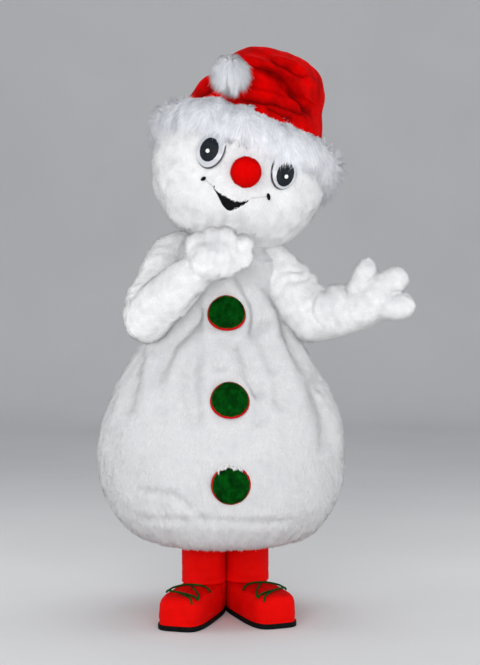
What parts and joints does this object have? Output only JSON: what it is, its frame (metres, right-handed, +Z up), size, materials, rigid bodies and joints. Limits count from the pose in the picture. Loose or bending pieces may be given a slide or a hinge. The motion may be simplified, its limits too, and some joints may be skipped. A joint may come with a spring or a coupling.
{
  "type": "snowman walking costume",
  "caption": "Plush snowman walking costume, standing as worn: pear-shaped hollow suit, round head under a folded fur-edged cap, mittens, buttons and big laced shoes.",
  "frame": {"origin": "centre of the footprint of the whole part, on the floor under the soles", "axes": "+Z up, the figure faces -Y, +X towards the wearer's left hand"},
  "size_m": [1.0955, 0.8325, 1.9614],
  "materials": {
    "white_plush": "short plush pile",
    "long_fur": "long fur",
    "red_velvet": "velvet",
    "red_cloth": "smooth cloth",
    "red_plush": "short plush pile",
    "green_plush": "short plush pile",
    "red_felt": "felt",
    "black_plush": "short plush pile",
    "eye_white": "glossy",
    "eye_black": "glossy",
    "sole_rubber": "satin",
    "green_cord": "matte"
  },
  "bodies": {
    "root": {"body_suit": "white_plush", "button_bottom": "green_plush", "button_felt_bottom": "red_felt", "button_felt_middle": "red_felt", "button_felt_top": "red_felt", "button_middle": "green_plush", "button_top": "green_plush", "cap": "red_velvet", "cap_fur_brim": "long_fur", "eye_glint_left": "eye_white", "eye_glint_right": "eye_white", "eye_pupil_left": "eye_black", "eye_pupil_right": "eye_black", "eye_white_left": "eye_white", "eye_white_right": "eye_white", "head": "white_plush", "laces_left": "green_cord", "laces_right": "green_cord", "mitten_left": "white_plush", "mitten_right": "white_plush", "mouth": "black_plush", "nose": "red_plush", "pompon": "long_fur", "shoe_left": "red_cloth", "shoe_right": "red_cloth", "sleeve_left": "white_plush", "sleeve_right": "white_plush", "sole_left": "sole_rubber", "sole_right": "sole_rubber", "trouser_leg_left": "red_cloth", "trouser_leg_right": "red_cloth"}
  },
  "joints": []
}
